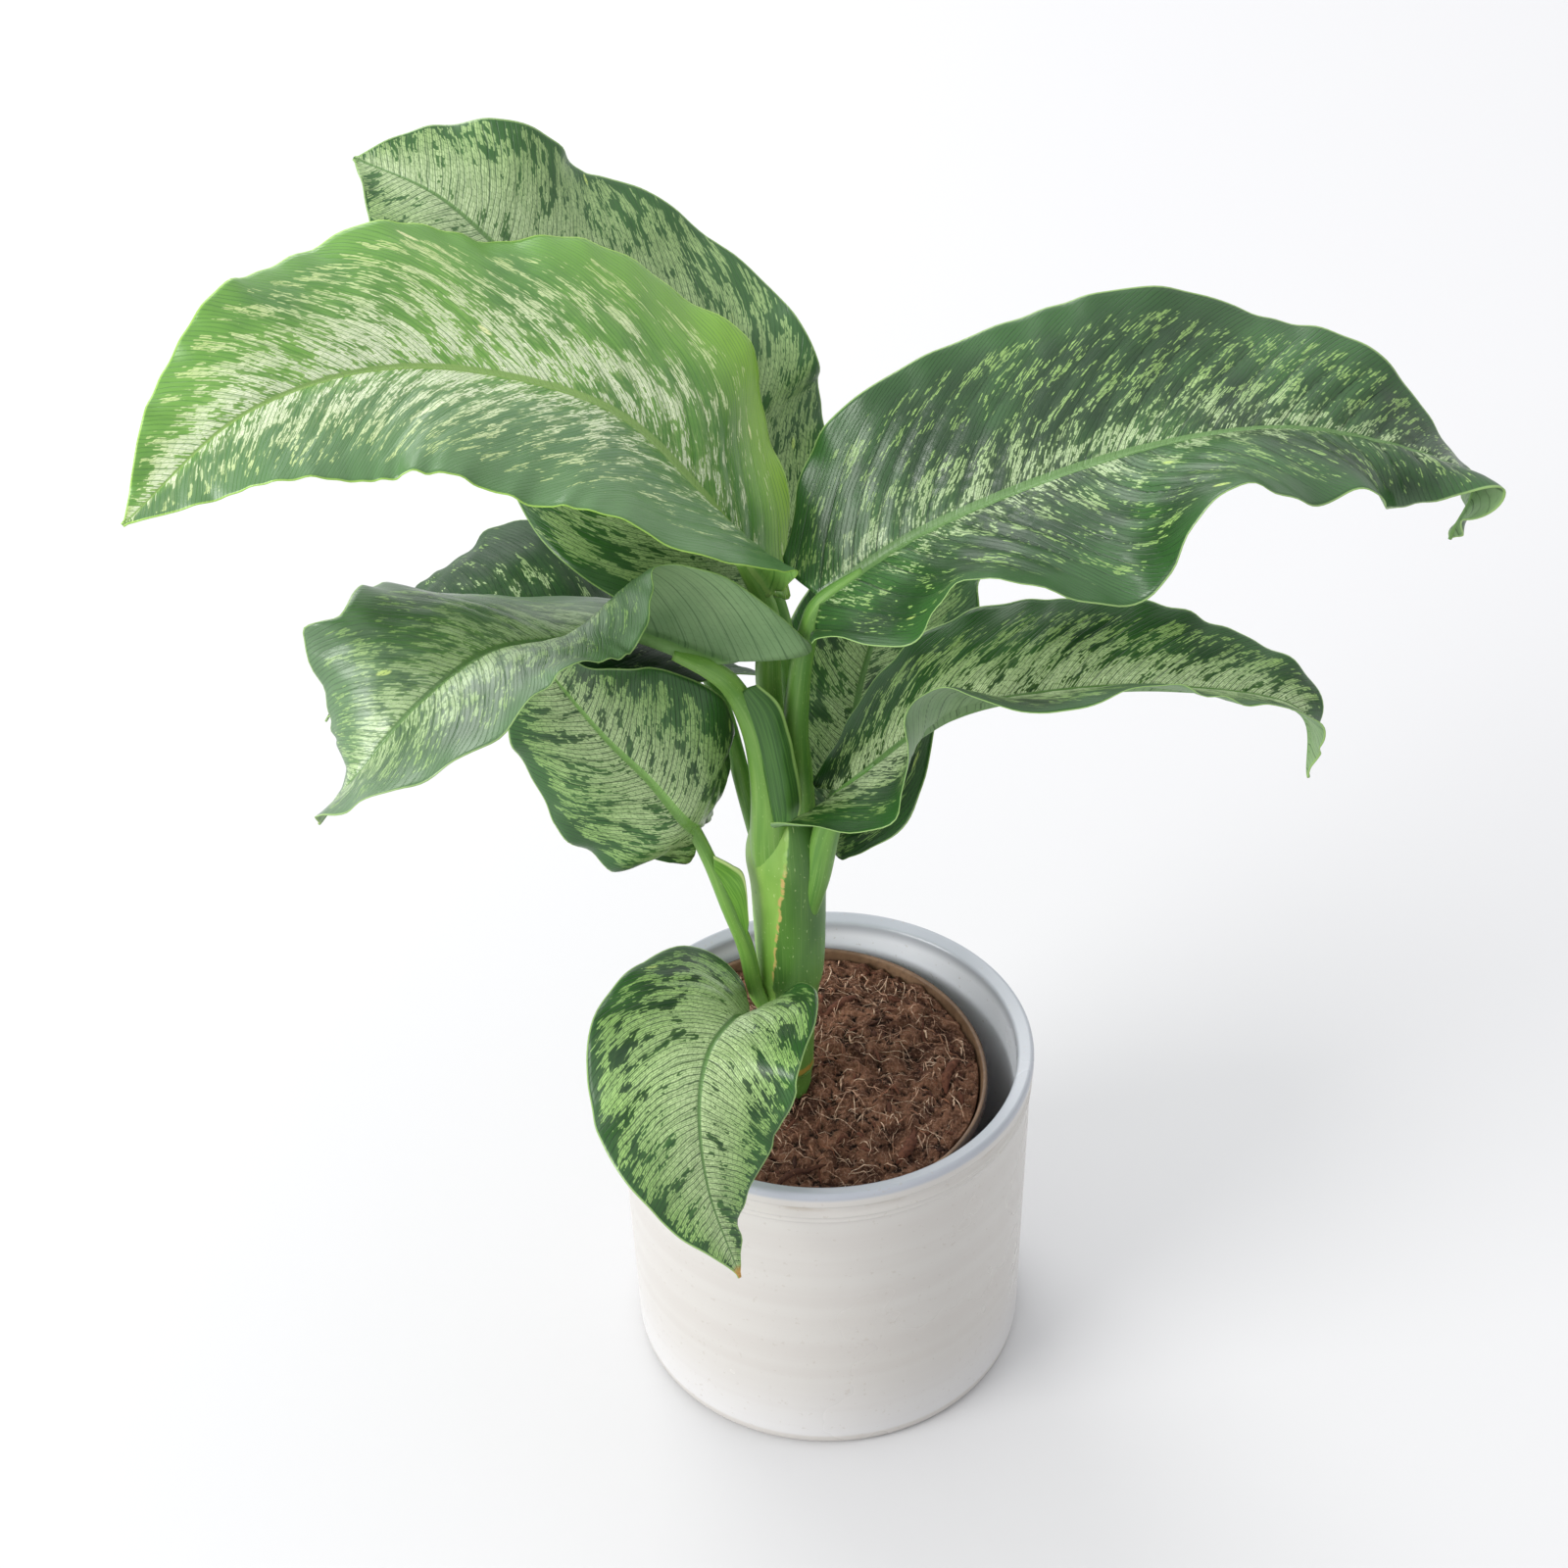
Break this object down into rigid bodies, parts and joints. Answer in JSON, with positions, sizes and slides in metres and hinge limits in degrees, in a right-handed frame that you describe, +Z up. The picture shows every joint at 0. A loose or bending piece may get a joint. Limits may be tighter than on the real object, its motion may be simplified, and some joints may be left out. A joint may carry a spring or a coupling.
{
  "type": "potted dieffenbachia",
  "caption": "Variegated dieffenbachia with broad waved leaves on a short cane, rooted in peat in a nursery pot inside a straight glazed outer pot.",
  "frame": {"origin": "centre of the outer pot's flat underside", "axes": "+Z up, -Y towards the viewer of the picture, +X to its right"},
  "size_m": [0.4815, 0.2592, 0.5294],
  "materials": {
    "glaze": "smooth warm light grey glaze",
    "nursery_plastic": "thin brown plastic",
    "peat": "coarse peat with coir and bark",
    "cane": "smooth green stem",
    "young_leaf": "satin yellow green blade",
    "leaf": "satin green blade with pale flecks"
  },
  "bodies": {
    "root": {"outer_pot": "glaze", "nursery_pot": "nursery_plastic", "peat": "peat", "cane": "cane", "leaf_1": "young_leaf", "leaf_2": "leaf", "leaf_3": "leaf", "leaf_4": "leaf", "leaf_5": "leaf", "leaf_6": "leaf", "leaf_7": "leaf", "leaf_8": "leaf", "leaf_9": "leaf"}
  },
  "joints": []
}
